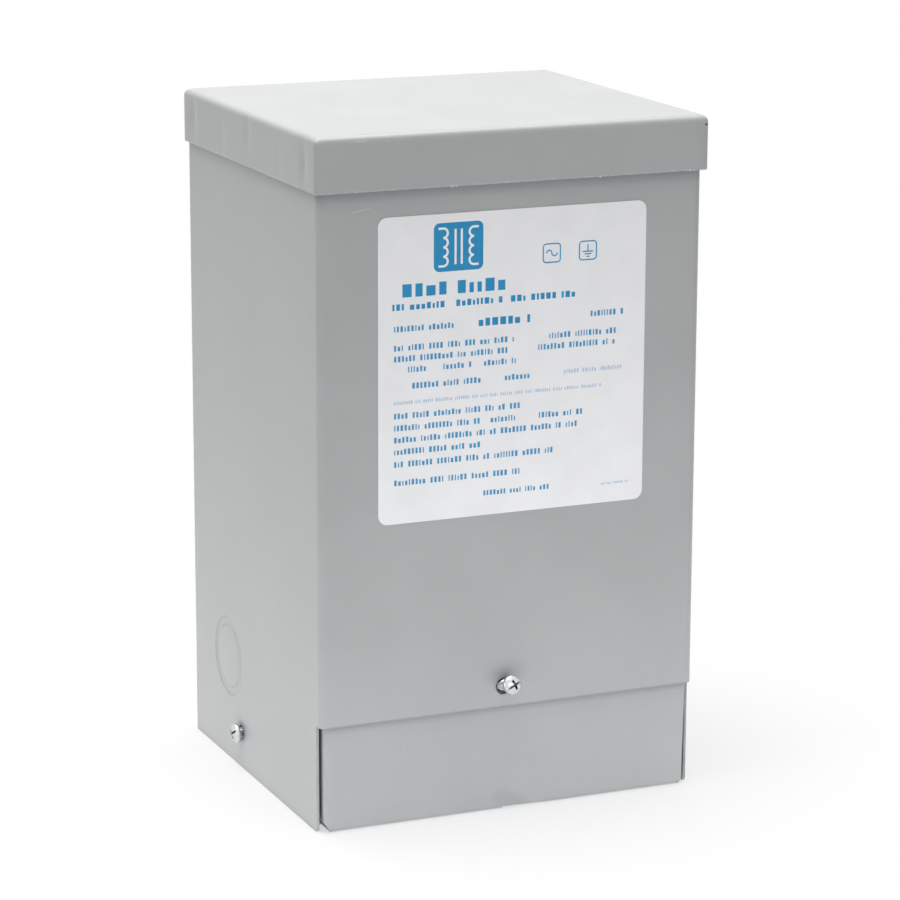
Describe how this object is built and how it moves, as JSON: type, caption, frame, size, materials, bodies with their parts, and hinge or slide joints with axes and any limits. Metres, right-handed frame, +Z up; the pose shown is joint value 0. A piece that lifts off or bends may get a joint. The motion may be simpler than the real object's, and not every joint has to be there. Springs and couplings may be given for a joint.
{
  "type": "wall-mounted dry transformer",
  "caption": "Small wall-mounted transformer in a folded sheet-steel outdoor housing with an overhanging top cap, a screwed wiring cover, a label and knockouts.",
  "frame": {"origin": "on the underside of the housing, in the middle of the top cap's width and depth", "axes": "+X towards the right side seen from the front, +Y towards the wall, the front faces -Y, +Z up"},
  "size_m": [0.1448, 0.1327, 0.234],
  "materials": {
    "grey_paint": "semi-gloss light grey enamel on folded sheet steel",
    "zinc_plate": "bright zinc plate",
    "potting": "rough dark resin and sand casting",
    "label_film": "satin white printed film",
    "ground_green": "green coated steel"
  },
  "bodies": {
    "root": {"body_wrap": "grey_paint", "back_plate": "grey_paint", "top_cap": "grey_paint", "wiring_cover": "grey_paint", "potting_block": "potting", "rating_label": "label_film", "wiring_diagram": "label_film", "front_screw": "zinc_plate", "left_screw": "zinc_plate", "right_screw": "zinc_plate", "front_spring_nut": "zinc_plate", "left_spring_nut": "zinc_plate", "right_spring_nut": "zinc_plate", "left_knockout_ring": "grey_paint", "left_knockout_slug": "grey_paint", "right_knockout_ring": "grey_paint", "right_knockout_slug": "grey_paint", "left_keyhole_cup": "zinc_plate", "right_keyhole_cup": "zinc_plate", "ground_screw": "ground_green"}
  },
  "joints": []
}
